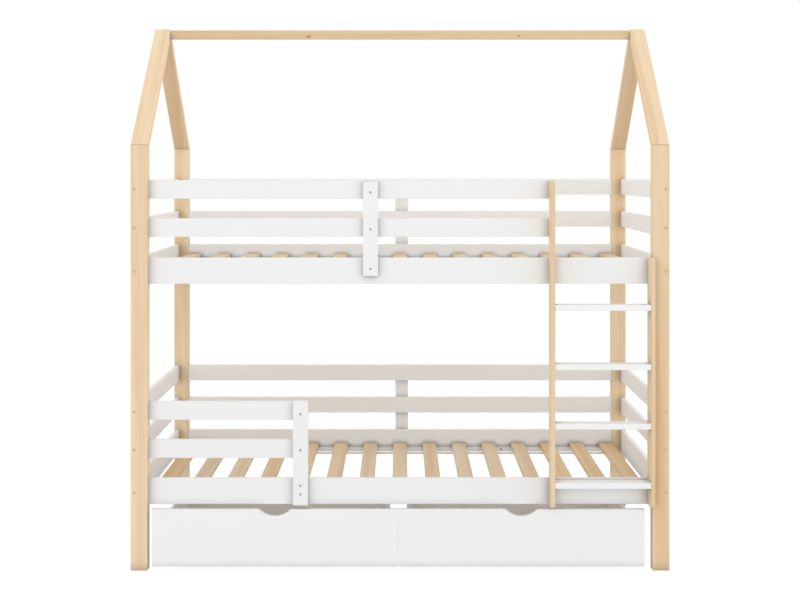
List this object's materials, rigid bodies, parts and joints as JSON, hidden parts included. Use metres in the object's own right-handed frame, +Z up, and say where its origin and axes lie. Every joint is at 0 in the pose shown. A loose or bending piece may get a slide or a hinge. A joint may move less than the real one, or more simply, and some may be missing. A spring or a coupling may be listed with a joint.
{
  "type": "house bunk bed",
  "caption": "House-shaped bunk bed: pitched roof frame on posts, slatted upper and lower beds, guard boards, a fixed front ladder and under-bed drawers on castors.",
  "frame": {"origin": "on the floor, under the middle of the outer size, ladder included", "axes": "+X along the beds to the right as seen from the front, +Y from the front to the rear, +Z up"},
  "size_m": [2.06, 1.046, 2.123],
  "materials": {
    "pine": "clear satin varnish",
    "white_lacquer": "satin white lacquer",
    "beech": "raw, fluted",
    "webbing": "woven",
    "zinc_steel": "zinc plated",
    "castor_plastic": "moulded"
  },
  "bodies": {
    "frame": {"post_front_left": "pine", "post_front_right": "pine", "post_rear_left": "pine", "post_rear_right": "pine", "rafter_front_left": "pine", "rafter_front_right": "pine", "rafter_rear_left": "pine", "rafter_rear_right": "pine", "ridge_beam": "pine", "upper_slats": "pine", "lower_slats": "pine", "ladder_stile_left": "pine", "ladder_stile_right": "pine", "upper_front_rail": "white_lacquer", "upper_rear_rail": "white_lacquer", "lower_front_rail": "white_lacquer", "lower_rear_rail": "white_lacquer", "upper_end_rail_left": "white_lacquer", "upper_end_rail_right": "white_lacquer", "lower_end_rail_left": "white_lacquer", "lower_end_rail_right": "white_lacquer", "upper_front_guards": "white_lacquer", "upper_rear_guards": "white_lacquer", "upper_end_guards": "white_lacquer", "lower_front_guards": "white_lacquer", "lower_rear_guards": "white_lacquer", "lower_end_guards": "white_lacquer", "upper_front_upright": "white_lacquer", "upper_rear_upright": "white_lacquer", "lower_front_upright": "white_lacquer", "lower_rear_upright": "white_lacquer", "ladder_treads": "white_lacquer", "slat_ledgers": "white_lacquer", "slat_straps": "webbing", "wooden_dowels": "beech", "frame_bolts": "zinc_steel", "barrel_nuts": "zinc_steel", "upright_screws": "zinc_steel", "wood_screws": "zinc_steel"},
    "left_drawer": {"left_drawer_front": "white_lacquer", "left_drawer_sides": "white_lacquer", "left_drawer_back": "white_lacquer", "left_drawer_bottom": "white_lacquer", "left_drawer_castors": "zinc_steel", "left_drawer_fixings": "zinc_steel"},
    "right_drawer": {"right_drawer_front": "white_lacquer", "right_drawer_sides": "white_lacquer", "right_drawer_back": "white_lacquer", "right_drawer_bottom": "white_lacquer", "right_drawer_castors": "zinc_steel", "right_drawer_fixings": "zinc_steel"},
    "left_drawer_front_left_wheel": {"left_drawer_front_left_wheel": "castor_plastic"},
    "left_drawer_front_right_wheel": {"left_drawer_front_right_wheel": "castor_plastic"},
    "left_drawer_rear_left_wheel": {"left_drawer_rear_left_wheel": "castor_plastic"},
    "left_drawer_rear_right_wheel": {"left_drawer_rear_right_wheel": "castor_plastic"},
    "right_drawer_front_left_wheel": {"right_drawer_front_left_wheel": "castor_plastic"},
    "right_drawer_front_right_wheel": {"right_drawer_front_right_wheel": "castor_plastic"},
    "right_drawer_rear_left_wheel": {"right_drawer_rear_left_wheel": "castor_plastic"},
    "right_drawer_rear_right_wheel": {"right_drawer_rear_right_wheel": "castor_plastic"}
  },
  "joints": [
    {"name": "left_drawer_slide", "type": "slide", "parent": "frame", "child": "left_drawer", "axis": [0, -1, 0], "range_m": [0, 0.6]},
    {"name": "right_drawer_slide", "type": "slide", "parent": "frame", "child": "right_drawer", "axis": [0, -1, 0], "range_m": [0, 0.6]},
    {"name": "left_drawer_front_left_wheel_spin", "type": "hinge", "parent": "left_drawer", "child": "left_drawer_front_left_wheel", "pos_m": [-0.8535, -0.374, 0.0175], "axis": [1, 0, 0], "continuous": true},
    {"name": "left_drawer_front_right_wheel_spin", "type": "hinge", "parent": "left_drawer", "child": "left_drawer_front_right_wheel", "pos_m": [-0.102, -0.374, 0.0175], "axis": [1, 0, 0], "continuous": true},
    {"name": "left_drawer_rear_left_wheel_spin", "type": "hinge", "parent": "left_drawer", "child": "left_drawer_rear_left_wheel", "pos_m": [-0.8535, 0.033, 0.0175], "axis": [1, 0, 0], "continuous": true},
    {"name": "left_drawer_rear_right_wheel_spin", "type": "hinge", "parent": "left_drawer", "child": "left_drawer_rear_right_wheel", "pos_m": [-0.102, 0.033, 0.0175], "axis": [1, 0, 0], "continuous": true},
    {"name": "right_drawer_front_left_wheel_spin", "type": "hinge", "parent": "right_drawer", "child": "right_drawer_front_left_wheel", "pos_m": [0.089, -0.374, 0.0175], "axis": [1, 0, 0], "continuous": true},
    {"name": "right_drawer_front_right_wheel_spin", "type": "hinge", "parent": "right_drawer", "child": "right_drawer_front_right_wheel", "pos_m": [0.8405, -0.374, 0.0175], "axis": [1, 0, 0], "continuous": true},
    {"name": "right_drawer_rear_left_wheel_spin", "type": "hinge", "parent": "right_drawer", "child": "right_drawer_rear_left_wheel", "pos_m": [0.089, 0.033, 0.0175], "axis": [1, 0, 0], "continuous": true},
    {"name": "right_drawer_rear_right_wheel_spin", "type": "hinge", "parent": "right_drawer", "child": "right_drawer_rear_right_wheel", "pos_m": [0.8405, 0.033, 0.0175], "axis": [1, 0, 0], "continuous": true}
  ],
  "couplings": [
    {"joint": "left_drawer_front_left_wheel_spin", "follows": "left_drawer_slide", "rad_per_m": 57.143},
    {"joint": "left_drawer_front_right_wheel_spin", "follows": "left_drawer_slide", "rad_per_m": 57.143},
    {"joint": "left_drawer_rear_left_wheel_spin", "follows": "left_drawer_slide", "rad_per_m": 57.143},
    {"joint": "left_drawer_rear_right_wheel_spin", "follows": "left_drawer_slide", "rad_per_m": 57.143},
    {"joint": "right_drawer_front_left_wheel_spin", "follows": "right_drawer_slide", "rad_per_m": 57.143},
    {"joint": "right_drawer_front_right_wheel_spin", "follows": "right_drawer_slide", "rad_per_m": 57.143},
    {"joint": "right_drawer_rear_left_wheel_spin", "follows": "right_drawer_slide", "rad_per_m": 57.143},
    {"joint": "right_drawer_rear_right_wheel_spin", "follows": "right_drawer_slide", "rad_per_m": 57.143}
  ]
}
